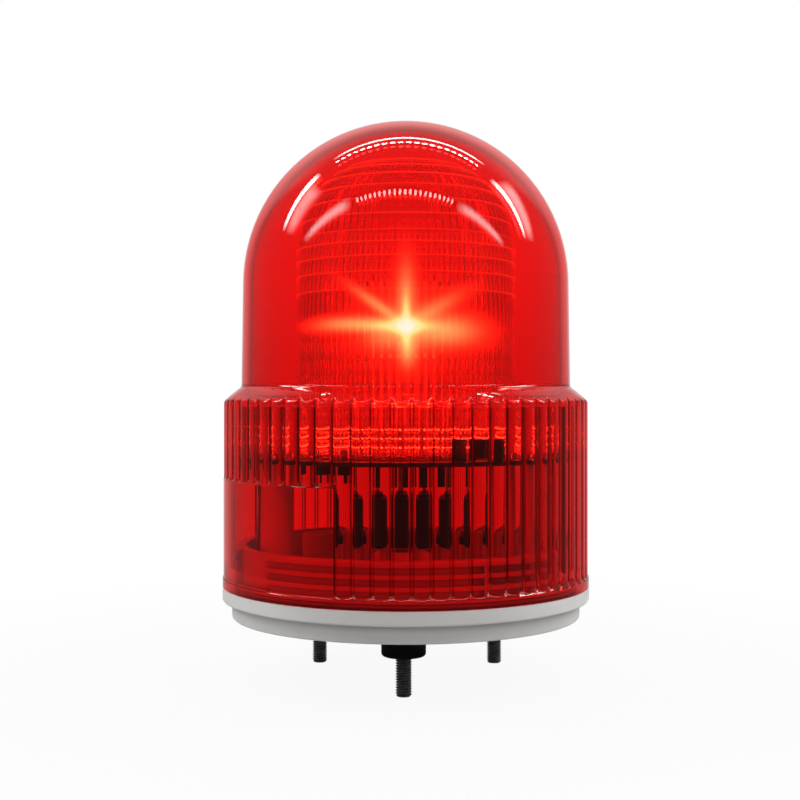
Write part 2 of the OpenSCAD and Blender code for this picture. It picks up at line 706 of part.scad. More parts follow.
module inner_lens() color("red", 0.5) difference() {
    rotate_extrude() drum_section();
    drum_bore();
    three_times(-SEGMENT / 4) placed(0, drum_screw_r, deck_z + drum_flange_t)
        screw_hole(drum_flange_t + CUT);
}

module inner_lens_screws() color("silver") three_times(-SEGMENT / 4)
    placed(0, drum_screw_r, deck_z + drum_flange_t) pan_screw(drum_flange_t + board_t);

module lamp_post() color("white") difference() {
    union() {
        translate([0, 0, deck_z]) cylinder(h = sink_z - deck_z, d = post_d);
        translate([0, 0, deck_z]) cylinder(h = post_foot_t, d = post_foot_d);
    }
    translate([0, 0, bolt_z - screw_end_room])
        cylinder(h = sink_h + bolt_grip, d = bolt_d + 2 * screw_room);
}

// Runs its child at each LED board screw, with -Y pointing out of the board
module led_screw_places(faces) for (i = faces, side = [-1, 1])
    placed(i * 360 / LED_COUNT, sink_flats / 2, lamp_z + side * led_screw_h) children();

module led_screw_hole() rotate([90, 0, 0]) translate([0, 0, -led_screw_len - CUT])
    cylinder(h = led_screw_len + led_board_t + 2 * CUT, d = led_screw_d + 2 * screw_room);

module heat_sink() color("silver") difference() {
    translate([0, 0, sink_z]) hexagon(sink_h, sink_flats);
    translate([0, 0, sink_z - CUT]) cylinder(h = sink_h + 2 * CUT, d = bolt_d + 2 * screw_room);
    led_screw_places([0:LED_COUNT - 1]) led_screw_hole();
}

module heat_sink_bolt() color("silver") {
    translate([0, 0, bolt_z]) cylinder(h = sink_top_z - bolt_z + bolt_head_h / 2, d = bolt_d);
    translate([0, 0, sink_top_z]) hexagon(bolt_head_h, bolt_flats);
}

module led_board(i) color("white") difference() {
    placed((i - 1) * 360 / LED_COUNT, led_face_r, lamp_z - led_board_h / 2)
        translate([-led_board_w / 2, 0, 0]) cube([led_board_w, led_board_t, led_board_h]);
    led_screw_places([i - 1]) led_screw_hole();
}

module led_board_screws() color("silver") led_screw_places([0:LED_COUNT - 1]) rotate([90, 0, 0]) {
    translate([0, 0, -led_screw_len])
        cylinder(h = led_screw_len + led_board_t + led_screw_head_h / 2, d = led_screw_d);
    translate([0, 0, led_board_t]) cylinder(h = led_screw_head_h, d = led_screw_head_d);
}

module led_emitters() color("ivory") for (i = [0:LED_COUNT - 1])
    placed(i * 360 / LED_COUNT, led_face_r, lamp_z) rotate([90, 0, 0]) {
        translate([-led_w / 2, -led_w / 2, 0]) cube([led_w, led_w, led_t]);
        translate([0, 0, led_t]) rotate_extrude() intersection() {
            circle(led_dome_r);
            translate([0, -led_t / 2]) square(2 * led_dome_r);
        }
    }

outer_lens();
seal_ring();
base_housing();
rubber_feet();
mounting_studs();
cable_grommet();
supply_terminal();
supply_wires();
wire_socket();
sounder_case();
sounder_screws();
sounder_leads();
main_board();
board_screws();
driver_module();
pin_header();
capacitors();
inner_lens();
inner_lens_screws();
lamp_post();
heat_sink();
heat_sink_bolt();
for (i = [1:LED_COUNT]) led_board(i);
led_board_screws();
led_emitters();
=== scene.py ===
import json
import math

import bpy
import numpy as np
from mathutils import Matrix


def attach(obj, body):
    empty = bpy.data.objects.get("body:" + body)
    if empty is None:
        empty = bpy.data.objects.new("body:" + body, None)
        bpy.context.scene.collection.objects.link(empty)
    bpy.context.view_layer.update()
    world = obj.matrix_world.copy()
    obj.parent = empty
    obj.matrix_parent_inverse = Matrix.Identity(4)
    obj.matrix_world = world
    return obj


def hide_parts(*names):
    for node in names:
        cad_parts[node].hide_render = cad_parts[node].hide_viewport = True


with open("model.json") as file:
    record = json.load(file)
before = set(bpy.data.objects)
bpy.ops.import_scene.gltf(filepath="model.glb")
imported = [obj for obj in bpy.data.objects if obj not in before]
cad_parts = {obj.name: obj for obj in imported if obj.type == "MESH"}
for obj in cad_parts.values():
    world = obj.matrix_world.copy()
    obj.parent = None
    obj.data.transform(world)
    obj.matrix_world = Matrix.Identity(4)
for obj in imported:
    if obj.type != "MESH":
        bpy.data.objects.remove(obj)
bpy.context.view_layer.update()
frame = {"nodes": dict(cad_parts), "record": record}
nodes = frame["nodes"]
scene = bpy.context.scene
mm = 0.001

# camera: level, a little right of the front, as far off as the rim's ellipses say
cameraSettings = {"distance": 0.534, "height": 0.0969, "azimuth": 1.1, "lens": 59.76, "sensor": 36,
                  "shift": (-0.00725, -0.0074), "clip": (0.01, 50)}


def makeCamera(s):
    data = bpy.data.cameras.new("beaconCamera")
    data.lens, data.sensor_width = s["lens"], s["sensor"]
    data.shift_x, data.shift_y = s["shift"]
    data.clip_start, data.clip_end = s["clip"]
    camera = bpy.data.objects.new("beaconCamera", data)
    turn = math.radians(s["azimuth"])
    camera.location = (s["distance"] * math.sin(turn), -s["distance"] * math.cos(turn), s["height"])
    camera.rotation_euler = (math.pi / 2, 0, turn)
    scene.collection.objects.link(camera)
    scene.camera = camera


makeCamera(cameraSettings)
scene.view_settings.view_transform = "Standard"
scene.cycles.max_bounces = 20
scene.cycles.transmission_bounces = 20
scene.cycles.glossy_bounces = 16
print("camera set")


# mesh tools: points are rows x columns x 3, columns close into a ring

def ringPoints(angles, radii, heights):
    # angle runs from the front (-Y) towards +X: x = r sin a, y = -r cos a
    angles, radii, heights = np.broadcast_arrays(angles, radii, heights)
    return np.stack((radii * np.sin(angles), -radii * np.cos(angles), heights), axis=-1)


def ringQuads(rowCount, columnCount, start=0):
    # the four corners of every cell between neighbouring rows, counter-clockwise seen from outside
    row, column = np.meshgrid(np.arange(rowCount - 1), np.arange(columnCount), indexing="ij")
    after = (column + 1) % columnCount
    cells = np.stack((row * columnCount + column, row * columnCount + after,
                      (row + 1) * columnCount + after, (row + 1) * columnCount + column), axis=-1)
    return cells.reshape(-1, 4) + start


def poleFan(row, columnCount, pole, start=0, upward=True):
    # triangles from one ring of points to a single pole point
    first = start + row * columnCount + np.arange(columnCount)
    second = start + row * columnCount + (np.arange(columnCount) + 1) % columnCount
    ends = (first, second) if upward else (second, first)
    return np.stack((*ends, np.full(columnCount, pole)), axis=-1)


def sharpEdges(mesh, pairs):
    # marks the edges that join the given pairs of points as creases
    edges = np.empty(len(mesh.edges) * 2, np.int64)
    mesh.edges.foreach_get("vertices", edges)
    edges = np.sort(edges.reshape(-1, 2), axis=1)
    pairs = np.sort(np.asarray(pairs, np.int64).reshape(-1, 2), axis=1)
    total = len(mesh.vertices)
    crease = np.isin(edges[:, 0] * total + edges[:, 1], pairs[:, 0] * total + pairs[:, 1])
    attribute = mesh.attributes.get("sharp_edge") or mesh.attributes.new("sharp_edge", "BOOLEAN", "EDGE")
    attribute.data.foreach_set("value", crease)


def rowPairs(row, columnCount, start=0):
    first = start + row * columnCount + np.arange(columnCount)
    second = start + row * columnCount + (np.arange(columnCount) + 1) % columnCount
    return np.stack((first, second), axis=-1)


def columnPairs(columns, rows, columnCount, start=0):
    # edges that run up the given columns between each row of rows and the next
    column, row = np.meshgrid(np.asarray(columns), np.asarray(rows), indexing="ij")
    first = start + row * columnCount + column
    return np.stack((first.ravel(), first.ravel() + columnCount), axis=-1)


def makePiece(name, points, faces, creases=None, body="base", replaces=(), material=None):
    mesh = bpy.data.meshes.new(name)
    mesh.from_pydata(points.reshape(-1, 3).tolist(), [], [f for group in faces for f in group.tolist()])
    mesh.update()
    mesh.shade_smooth()
    if creases is not None:
        sharpEdges(mesh, np.concatenate(creases))
    piece = bpy.data.objects.new(name, mesh)
    scene.collection.objects.link(piece)
    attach(piece, body)
    if replaces:
        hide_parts(*replaces)
    if material:
        mesh.materials.append(material)
    return piece


# material tools

def startMaterial(name):
    material = bpy.data.materials.new(name)
    material.use_nodes = True
    tree = material.node_tree
    return material, tree, tree.nodes["Principled BSDF"]


def addNode(tree, kind, values=None, **settings):
    node = tree.nodes.new(kind)
    for key, value in settings.items():
        setattr(node, key, value)
    for key, value in (values or {}).items():
        node.inputs[key].default_value = value
    return node


def noiseField(tree, scale, detail=3.0, stretch=(1, 1, 1)):
    place = addNode(tree, "ShaderNodeTexCoord")
    mapping = addNode(tree, "ShaderNodeMapping", {"Scale": stretch})
    noise = addNode(tree, "ShaderNodeTexNoise", {"Scale": scale, "Detail": detail})
    tree.links.new(place.outputs["Object"], mapping.inputs["Vector"])
    tree.links.new(mapping.outputs["Vector"], noise.inputs["Vector"])
    return noise.outputs["Fac"]


def spread(tree, source, low, high, fromLow=0.3, fromHigh=0.7):
    values = {"From Min": fromLow, "From Max": fromHigh, "To Min": low, "To Max": high}
    node = addNode(tree, "ShaderNodeMapRange", values)
    tree.links.new(source, node.inputs["Value"])
    return node.outputs["Result"]


def twoTone(tree, source, first, second):
    node = addNode(tree, "ShaderNodeMix", data_type="RGBA")
    node.inputs[6].default_value = (*first, 1)
    node.inputs[7].default_value = (*second, 1)
    tree.links.new(spread(tree, source, 0, 1), node.inputs[0])
    return node.outputs[2]


def roughen(tree, shader, source, distance, strength=1.0):
    bump = addNode(tree, "ShaderNodeBump", {"Strength": strength, "Distance": distance})
    tree.links.new(source, bump.inputs["Height"])
    tree.links.new(bump.outputs["Normal"], shader.inputs["Normal"])


def plainFinish(name, tones, rough, patch, grain, grainDepth, stretch=(1, 1, 1), crevice=0, **fixed):
    # two tones in slow patches, painted shade from ambient occlusion in narrow crevices, gloss that varies with the
    # grain, and a fine raised grain
    material, tree, shader = startMaterial(name)
    slow = noiseField(tree, patch)
    fine = noiseField(tree, grain, 4.0, stretch)
    colour = twoTone(tree, slow, *tones)
    # painted shade: ambient occlusion darkens the colour in crevices, such as between the collar's ribs
    if crevice:
        shade = addNode(tree, "ShaderNodeAmbientOcclusion", {"Distance": crevice}, samples=8, only_local=True)
        tree.links.new(colour, shade.inputs["Color"])
        colour = shade.outputs["Color"]
    tree.links.new(colour, shader.inputs["Base Color"])
    tree.links.new(spread(tree, fine, *rough), shader.inputs["Roughness"])
    roughen(tree, shader, fine, grainDepth)
    for key, value in fixed.items():
        shader.inputs[key.replace("_", " ")].default_value = value
    return material


# clear red mouldings

# painted light on the lenses, a painted halo and painted rays in their emission: middle across and up from the lamp,
# half length, half width, brightness, tilt
lensFinish = {"tones": ((0.90, 0.027, 0.024), (0.94, 0.034, 0.030)), "rough": (0.008, 0.02), "ior": 1.49,
              "patch": 30, "grain": 900, "lineShade": 0.75, "shadeLineColour": (0.06, 0.002, 0.002),
              "glowColour": (1.0, 0.035, 0.03), "coreColour": (1.0, 0.035, 0.03), "hotFrom": 25, "hotTo": 90,
              "lampX": 0, "lampZ": 160 * mm, "overall": 0.004, "edges": 0.0,
              "halo": (0, 0, 90 * mm, 45 * mm, 0.078, 0), "rays": ()}
prismFinish = {"tones": ((0.80, 0.13, 0.11), (0.84, 0.16, 0.14)), "rough": (0.02, 0.05), "ior": 1.49,
               "patch": 30, "grain": 900,
               "glowColour": (1.0, 0.66, 0.21), "coreColour": (1.0, 0.80, 0.72), "hotFrom": 25, "hotTo": 90,
               "lampX": 0.9 * mm, "lampZ": 122.0 * mm, "overall": 0.01, "edges": 1.0,
               "halo": (0, 0, 26 * mm, 26 * mm, 0.03, 0),
               "rays": ((0, 0, 3.0 * mm, 2.3 * mm, 80, 0),
                        (0, 0, 7.5 * mm, 5.5 * mm, 11, 0),
                        (-0.8 * mm, 0, 9 * mm, 1.8 * mm, 28, 0),
                        (0, 1.8 * mm, 7.5 * mm, 1.3 * mm, 28, 90),
                        (0, 9 * mm, 11 * mm, 2.8 * mm, 8, 90),
                        (0.6 * mm, -7 * mm, 6 * mm, 2.8 * mm, 13, 90),
                        (14 * mm, -1.6 * mm, 10 * mm, 4.4 * mm, 12, 0),
                        (-21 * mm, 0.9 * mm, 10 * mm, 2.2 * mm, 10, 0),
                        (-11 * mm, 0.3 * mm, 8 * mm, 2.2 * mm, 8, 0),
                        (-9 * mm, 6.6 * mm, 10 * mm, 1.7 * mm, 9, 36.5),
                        (9 * mm, 5.4 * mm, 10 * mm, 2.6 * mm, 6, -31),
                        (-8 * mm, -3.5 * mm, 6 * mm, 4 * mm, 5, 0),
                        (0, 0, 17 * mm, 11 * mm, 1.2, 0))}


def clearFinish(name, s):
    material, tree, shader = startMaterial(name)
    slow = noiseField(tree, s["patch"])
    fine = noiseField(tree, s["grain"], 2.0)
    colour = twoTone(tree, slow, *s["tones"])
    if "lineShade" in s:
        # painted shade: the colour is darkened along the edges and feet of the flutes, standing for the dark lines
        # that refraction leaves there
        lines = addNode(tree, "ShaderNodeAttribute", attribute_name="fluteShade").outputs["Fac"]
        mix = addNode(tree, "ShaderNodeMix", data_type="RGBA")
        mix.inputs[7].default_value = (*s["shadeLineColour"], 1)
        tree.links.new(calculate(tree, "MULTIPLY", lines, s["lineShade"]), mix.inputs[0])
        tree.links.new(colour, mix.inputs[6])
        colour = mix.outputs[2]
    tree.links.new(colour, shader.inputs["Base Color"])
    tree.links.new(spread(tree, fine, *s["rough"]), shader.inputs["Roughness"])
    shader.inputs["Transmission Weight"].default_value = 1.0
    shader.inputs["IOR"].default_value = s["ior"]
    return material


def calculate(tree, operation, *values):
    # one sum on sockets or plain numbers
    node = addNode(tree, "ShaderNodeMath", operation=operation)
    for place, value in zip(node.inputs, values):
        if isinstance(value, (int, float)):
            place.default_value = value
        else:
            tree.links.new(value, place)
    return node.outputs[0]


def paintedLampRay(tree, coords, s, across, up, length, width, level, tilt):
    # painted light: level times e to the minus (along / length) squared plus (aside / width) squared; depth is scaled
    # away
    depth = 1000
    mapping = addNode(tree, "ShaderNodeMapping", {"Location": (s["lampX"] + across, 0, s["lampZ"] + up),
                                                  "Rotation": (0, math.radians(tilt), 0),
                                                  "Scale": (length, depth, width)}, vector_type="TEXTURE")
    axes = addNode(tree, "ShaderNodeSeparateXYZ")
    tree.links.new(coords, mapping.inputs["Vector"])
    tree.links.new(mapping.outputs["Vector"], axes.inputs[0])
    along = calculate(tree, "MULTIPLY", axes.outputs["X"], axes.outputs["X"])
    aside = calculate(tree, "MULTIPLY", axes.outputs["Z"], axes.outputs["Z"])
    far = calculate(tree, "ADD", along, aside)
    fall = calculate(tree, "EXPONENT", calculate(tree, "MULTIPLY", far, -1.0))
    return calculate(tree, "MULTIPLY", fall, level)


def addPaintedLampGlow(material, s):
    # painted glow: the lens is painted as lit all over, most about the lamp and along its moulded edges; painted rays
    # on the front half stand for the front emitter showing through
    tree = material.node_tree
    shader = tree.nodes["Principled BSDF"]
    coords = addNode(tree, "ShaderNodeTexCoord").outputs["Object"]
    total = paintedLampRay(tree, coords, s, *s["halo"])
    if s["rays"]:
        axes = addNode(tree, "ShaderNodeSeparateXYZ")
        tree.links.new(coords, axes.inputs[0])
        front = calculate(tree, "LESS_THAN", axes.outputs["Y"], 0.0)
        rays = 0.0
        for ray in s["rays"]:
            rays = calculate(tree, "ADD", rays, paintedLampRay(tree, coords, s, *ray))
        total = calculate(tree, "ADD", total, calculate(tree, "MULTIPLY", rays, front))
        edges = addNode(tree, "ShaderNodeAttribute", attribute_name="paintedEdgeGlow").outputs["Fac"]
        total = calculate(tree, "ADD", total, calculate(tree, "MULTIPLY", edges, s["edges"]))
    tree.links.new(calculate(tree, "ADD", total, s["overall"]), shader.inputs["Emission Strength"])
    hot = addNode(tree, "ShaderNodeMix", data_type="RGBA")
    hot.inputs[6].default_value = (*s["glowColour"], 1)
    hot.inputs[7].default_value = (*s["coreColour"], 1)
    tree.links.new(spread(tree, total, 0, 1, s["hotFrom"], s["hotTo"]), hot.inputs[0])
    tree.links.new(hot.outputs[2], shader.inputs["Emission Color"])


redLens = clearFinish("redLens", lensFinish)
# both red lenses get painted glow in their emission
addPaintedLampGlow(redLens, lensFinish)
redPrismLens = clearFinish("redPrismLens", prismFinish)
addPaintedLampGlow(redPrismLens, prismFinish)
print("clear finishes made")

# opaque finishes, by the record's slots: two tones, gloss range, patches and grains in each metre, depth of grain
plainFinishes = {
    "white_moulding": {"name": "whiteMoulding", "tones": ((0.66, 0.66, 0.65), (0.71, 0.71, 0.70)),
                       "rough": (0.34, 0.46), "patch": 18, "grain": 2600, "grainDepth": 0.02 * mm, "crevice": 3 * mm},
    "black_rubber": {"name": "blackRubber", "tones": ((0.0025, 0.0025, 0.0032), (0.0048, 0.0048, 0.0058)),
                     "rough": (0.6, 0.8), "patch": 60, "grain": 1800, "grainDepth": 0.06 * mm,
                     "Specular_IOR_Level": 0.15},
    "black_steel": {"name": "blackSteel", "tones": ((0.16, 0.16, 0.16), (0.30, 0.295, 0.29)), "rough": (0.28, 0.46),
                    "patch": 400, "grain": 3000, "grainDepth": 0.01 * mm, "Metallic": 0.9},
    "plated_steel": {"name": "platedSteel", "tones": ((0.55, 0.55, 0.56), (0.66, 0.66, 0.67)), "rough": (0.18, 0.32),
                     "patch": 300, "grain": 4000, "grainDepth": 0.005 * mm, "Metallic": 1.0},
    "black_plastic": {"name": "blackPlastic", "tones": ((0.006, 0.006, 0.007), (0.011, 0.011, 0.012)),
                      "rough": (0.30, 0.44), "patch": 40, "grain": 2200, "grainDepth": 0.02 * mm,
                      "Specular_IOR_Level": 0.18},
    "wire_cover": {"name": "wireCover", "tones": ((0.22, 0.012, 0.010), (0.28, 0.018, 0.014)), "rough": (0.38, 0.5),
                   "patch": 150, "grain": 1500, "grainDepth": 0.02 * mm},
    "circuit_board": {"name": "circuitBoard", "tones": ((0.012, 0.07, 0.028), (0.02, 0.10, 0.04)),
                      "rough": (0.25, 0.4), "patch": 220, "grain": 1200, "grainDepth": 0.02 * mm},
    "bare_aluminium": {"name": "bareAluminium", "tones": ((0.62, 0.62, 0.63), (0.74, 0.74, 0.75)),
                       "rough": (0.25, 0.4), "patch": 80, "grain": 2500, "grainDepth": 0.01 * mm,
                       "stretch": (1, 1, 0.06), "Metallic": 1.0},
    "led_board": {"name": "ledBoard", "tones": ((0.74, 0.74, 0.72), (0.80, 0.80, 0.78)), "rough": (0.3, 0.42),
                  "patch": 200, "grain": 2000, "grainDepth": 0.01 * mm}}
sealSettings = {"tones": ((0.22, 0.17, 0.16), (0.27, 0.21, 0.20)), "rough": (0.5, 0.65), "patch": 60, "grain": 1800,
                "grainDepth": 0.03 * mm}
finishOf = {slot: plainFinish(**settings) for slot, settings in plainFinishes.items()}
sealSilicone = plainFinish("sealSilicone", **sealSettings)
print("opaque finishes made")

emitterSettings = {"colour": (1.0, 0.62, 0.30), "power": 8.0, "tones": ((0.9, 0.6, 0.35), (0.95, 0.68, 0.42)),
                   "grain": 500}


def litFinish(name, s):
    # a pale amber dome in two fine tones that glows evenly
    material, tree, shader = startMaterial(name)
    fine = noiseField(tree, s["grain"])
    tree.links.new(twoTone(tree, fine, *s["tones"]), shader.inputs["Base Color"])
    shader.inputs["Emission Color"].default_value = (*s["colour"], 1)
    shader.inputs["Emission Strength"].default_value = s["power"]
    return material


finishOf["led_lens"] = litFinish("ledLens", emitterSettings)
finishOf["red_lens"], finishOf["red_prism_lens"] = redLens, redPrismLens
slotOf = {part["node"]: part["material_slot"] for part in frame["record"]["subparts"]}
for name, node in nodes.items():
    node.data.materials.clear()
    node.data.materials.append(sealSilicone if name == "seal_ring" else finishOf[slotOf[name]])
print("CAD nodes finished:", len(nodes))


# outer lens: fluted skirt, smooth window, sloping shoulder and dome in one shell

lens = {"domeR": 65 * mm, "sideH": 40.6 * mm, "draft": 0.8, "wall": 4 * mm, "shoulderW": 6.9 * mm,
        "shoulderH": 5.9 * mm, "fillet": 2.2 * mm, "rimZ": 21.4 * mm, "skirtH": 72.6 * mm, "flutes": 64,
        "fluteDepth": 1.5 * mm, "fluteShare": 0.84, "ridgeShare": 0.8, "fluteSteps": 12, "grooveSteps": 5,
        "bandH": 3.4 * mm, "bandOut": 0.5 * mm, "runSlope": 1.1, "runHold": 0.1 * mm, "edgeRound": 0.45 * mm,
        "hold": 0.3 * mm, "bulge": 0.2 * mm, "shoulderSteps": (0.2, 0.35, 0.5, 0.65, 0.8, 0.95), "filletRows": 9,
        "windowFlutes": 16, "windowSkip": 3, "windowH": 42.4 * mm, "windowOut": 0.15 * mm, "windowMargin": 0.3,
        "windowSlope": 1.0, "edgeTurn": 0.02, "domeRows": 26, "lineW": 0.028, "footShade": 0.6}


def makeOuterLens(s):
    pitch = 2 * math.pi / s["flutes"]
    footR = s["domeR"] + s["sideH"] * math.tan(math.radians(s["draft"]))
    crestR = footR + s["shoulderW"]
    bandR = crestR + s["bandOut"]
    windowR = crestR + s["windowOut"]
    inR = crestR - s["wall"]
    slope = math.atan2(s["shoulderH"], s["shoulderW"])
    topZ = s["rimZ"] + s["skirtH"]
    shoulderZ = topZ + s["shoulderH"]
    domeZ = shoulderZ + s["sideH"]
    windowZ = s["rimZ"] + s["windowH"]
    margin, edge = math.radians(s["windowMargin"]), math.radians(s["edgeTurn"])
    windowFrom = -(s["windowSkip"] + s["windowFlutes"] + 0.5) * pitch - margin
    windowTo = -(s["windowSkip"] + 0.5) * pitch + margin

    # columns: closest at the steep sides of each flute, and a close pair at each end of the window
    quarter = math.pi / 2
    sideways = np.sin(np.linspace(-quarter, quarter, s["fluteSteps"] + 1)) * s["fluteShare"] / 2
    inGroove = np.sin(np.linspace(-quarter, quarter, s["grooveSteps"] + 1))[1:-1]
    between = 0.5 + inGroove * (1 - s["fluteShare"]) / 2
    places = np.arange(s["flutes"])[:, None] - s["flutes"] / 2 + np.concatenate((sideways, between))
    ends = np.array([windowFrom - edge, windowFrom + edge, windowTo - edge, windowTo + edge])
    angles = np.sort(np.concatenate((places.ravel() * pitch, ends)))
    count = len(angles)
    inWindow = (angles > windowFrom) & (angles < windowTo)

    # flute: half an ellipse standing out of the skirt; groove: a shallow half ellipse into it
    ridge = s["fluteDepth"] * s["ridgeShare"]
    across = np.abs((angles / pitch + 0.5) % 1 - 0.5)
    out = np.sqrt(np.clip(1 - (2 * across / s["fluteShare"]) ** 2, 0, 1)) * ridge
    dip = np.sqrt(np.clip(1 - ((1 - 2 * across) / (1 - s["fluteShare"])) ** 2, 0, 1))
    fluted = crestR - ridge + out - dip * (s["fluteDepth"] - ridge)
    lower = np.where(inWindow, windowR, fluted)

    # flutes end below on a cone above the rim band, above on the shoulder's cone; near rows hold the small rounds
    bandZ = s["rimZ"] + s["bandH"]
    startZ = bandZ + (bandR - lower) * s["runSlope"]
    edgeZ = topZ + (crestR - fluted) * math.tan(slope)
    meetZ = windowZ + (windowR - fluted) * s["windowSlope"]
    soft, hold, back, up = s["edgeRound"], s["hold"], math.cos(slope), math.sin(slope)
    rows = [(bandR, s["rimZ"]), (bandR, bandZ),
            (lower + s["runHold"], startZ - s["runHold"] * s["runSlope"]), (lower, startZ + hold),
            (lower, startZ + 2 * hold), (lower, windowZ - hold), (lower, windowZ),
            (fluted, meetZ), (fluted, meetZ + hold), (fluted, edgeZ - soft - hold), (fluted, edgeZ - soft)]
    creaseRows, footRows, windowRows, skirtRows = [0, 1], slice(2, 4), slice(2, 7), len(rows)

    # shoulder with a slight bulge, fillet, drafted side and hemisphere, as rings
    bend = math.pi / 2 - slope
    reach = s["fillet"] * math.tan(bend / 2)
    fromR, fromZ = fluted - soft * back, edgeZ + soft * up
    toR, toZ = footR + s["fillet"] * (1 - math.cos(bend)), shoulderZ + reach - s["fillet"] * math.sin(bend)
    for t in (0, hold / s["shoulderW"], *s["shoulderSteps"]):
        r, z = fromR + (toR - fromR) * t, fromZ + (toZ - fromZ) * t
        height = np.clip((z - topZ) / (toZ - topZ), 0, 1)
        swell = 4 * height * (1 - height) * s["bulge"]
        rows.append((r + swell * up, z + swell * back))
    sweep = math.pi + bend - np.linspace(0, bend, s["filletRows"])
    rows += [(footR + s["fillet"] + s["fillet"] * math.cos(a), shoulderZ + reach + s["fillet"] * math.sin(a))
             for a in sweep]
    rows += [(s["domeR"] * math.cos(a), domeZ + s["domeR"] * math.sin(a))
             for a in np.linspace(0, math.pi / 2, s["domeRows"] + 1)[:-1]]
    outerRows = len(rows)

    # inside: the same line set in by the wall
    drop = s["wall"] * (1 - math.sin(slope)) / math.cos(slope)
    inside = [(inR, s["rimZ"]), (inR, topZ - drop), (footR - s["wall"], shoulderZ - drop)]
    inside += [((s["domeR"] - s["wall"]) * math.cos(a), domeZ + (s["domeR"] - s["wall"]) * math.sin(a))
               for a in np.linspace(0, math.pi / 2, s["domeRows"] + 1)[:-1]]
    innerRows = len(inside)

    points = np.stack([ringPoints(angles, r, z) for r, z in rows + inside])
    start = outerRows * count
    poles = np.array([[0, 0, domeZ + s["domeR"]], [0, 0, domeZ + s["domeR"] - s["wall"]]])
    allPoints = np.concatenate((points.reshape(-1, 3), poles))
    outerPole, innerPole = len(allPoints) - 2, len(allPoints) - 1
    first = np.arange(count)
    after = (first + 1) % count
    rim = np.stack((first, start + first, start + after, after), axis=-1)
    faces = [ringQuads(outerRows, count), poleFan(outerRows - 1, count, outerPole),
             ringQuads(innerRows, count, start)[:, ::-1],
             poleFan(innerRows - 1, count, innerPole, start, upward=False), rim]
    sides = np.flatnonzero(np.isin(angles, ends))
    creases = [rowPairs(r, count) for r in creaseRows] + [rowPairs(r, count, start) for r in (0, 1, 2)]
    creases.append(columnPairs(sides, range(1, skirtRows - 1), count))
    piece = makePiece("outer_lens_shell", allPoints, faces, creases, "lens", ("outer_lens",), redLens)

    # painted shade lines: e to the minus (distance from the flute's edge / line width) squared, and along each
    # flute's foot
    edgeShade = np.exp(-((across - s["fluteShare"] / 2) / s["lineW"]) ** 2)
    lines = np.zeros((outerRows + innerRows, count))
    lines[footRows.start:skirtRows] = edgeShade
    lines[footRows] = np.maximum(edgeShade, s["footShade"])
    lines[windowRows, inWindow] = 0
    shade = np.concatenate((lines.ravel(), [0, 0]))
    piece.data.attributes.new("fluteShade", "FLOAT", "POINT").data.foreach_set("value", shade)
    return piece


makeOuterLens(lens)

# lock lugs: short bars inside the skirt, three heights at each of three places, just clear of the wall
lugs = {"places": 3, "first": -86, "width": 14, "inR": 67.067 * mm, "outR": 68.447 * mm, "lowZ": 25.325 * mm,
        "pitch": 4.25 * mm, "count": 3, "h": 1.6 * mm, "steps": 10}


def makeLugs(s):
    # each bar is a square section carried round from one end of the lug to the other
    middles = s["first"] + np.arange(s["places"]) * 360 / s["places"]
    angles = np.radians(middles[:, None] + np.linspace(-0.5, 0.5, s["steps"] + 1) * s["width"])
    section = np.array([(s["inR"], 0), (s["inR"], s["h"]), (s["outR"], s["h"]), (s["outR"], 0)])
    heights = s["lowZ"] + np.arange(s["count"]) * s["pitch"]
    points = ringPoints(angles[:, None, :, None], section[:, 0], heights[:, None, None] + section[:, 1])
    rings = s["steps"] + 1
    one = np.concatenate((ringQuads(rings, 4), [[3, 2, 1, 0]], [4 * rings - 4 + np.arange(4)]))
    starts = np.arange(s["places"] * s["count"]) * 4 * rings
    faces = [(one[None] + starts[:, None, None]).reshape(-1, 4)]
    corner = np.concatenate([columnPairs(range(4), range(rings - 1), 4), rowPairs(0, 4), rowPairs(rings - 1, 4)])
    creases = [(corner[None] + starts[:, None, None]).reshape(-1, 2)]
    return makePiece("lens_lugs", points, faces, creases, "lens", (), redLens)


makeLugs(lugs)
print("outer lens made")


# inner lens: stepped rings outside, upright flutes inside, round ringed crown

# lowGlow, dashGlow, highGlow and cuspGlow set painted glow on the ring edges and flute cusps
drum = {"r": 43.967 * mm, "wall": 2.4 * mm, "step": 1 * mm, "midH": 9.7 * mm, "nextH": 6.7 * mm, "share": 0.87,
        "leastH": 3.3 * mm, "above": 4, "below": 10, "midRows": 9, "edgeH": 0.45 * mm,
        "crownR": 32 * mm, "crownRings": 6, "crownStep": 0.6 * mm, "crownTurn": 66, "capTurn": 70, "capRows": 6,
        "flutes": 90, "fluteDepth": 0.5 * mm, "fluteSteps": 6, "insideRows": 16,
        "flangeW": 5.4 * mm, "flangeT": 2 * mm, "flangeGap": 0.4 * mm, "deckZ": 72.4 * mm, "lampZ": 126 * mm,
        "dashed": 7, "dotColumns": 4, "lowGlow": 36.0, "dashGlow": 0.35, "highGlow": 0.6, "cuspGlow": 0.03,
        "cuspStop": 3}


def ringEdge(s, i):
    # height of ring edge i from the lamp: each ring is a share of the last one's height, down to the least
    return s["midH"] + sum(max(s["nextH"] * s["share"] ** k, s["leastH"]) for k in range(i))


